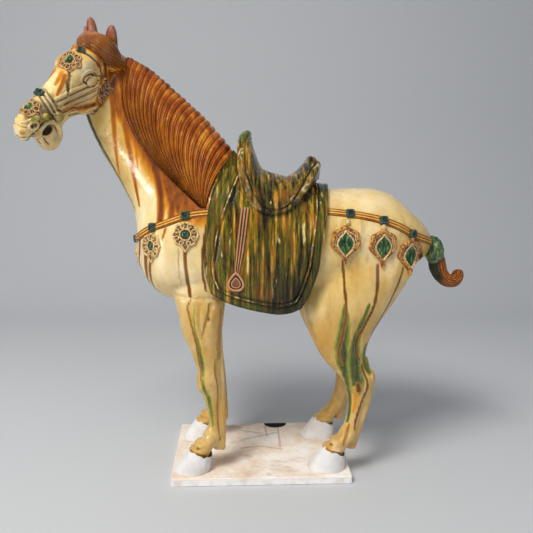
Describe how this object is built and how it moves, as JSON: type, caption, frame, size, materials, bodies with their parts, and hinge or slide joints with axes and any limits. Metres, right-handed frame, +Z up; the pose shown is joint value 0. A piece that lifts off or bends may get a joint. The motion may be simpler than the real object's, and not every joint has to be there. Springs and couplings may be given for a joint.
{
  "type": "chinese tomb horse",
  "caption": "Standing saddled pottery horse in streaked lead glaze, head turned to its left, with harness ornaments, hogged mane and curled tail, on a low unglazed slab.",
  "frame": {"origin": "on the slab's underside, below the middle plane of the horse's barrel", "axes": "+Z up; the horse looks toward -X with its tail toward +X, and its left side faces -Y"},
  "size_m": [0.6312, 0.1934, 0.6648],
  "materials": {
    "glaze": "gloss",
    "biscuit": "matt"
  },
  "bodies": {
    "root": {"glazed_horse": "glaze", "plinth_slab": "biscuit"}
  },
  "joints": []
}
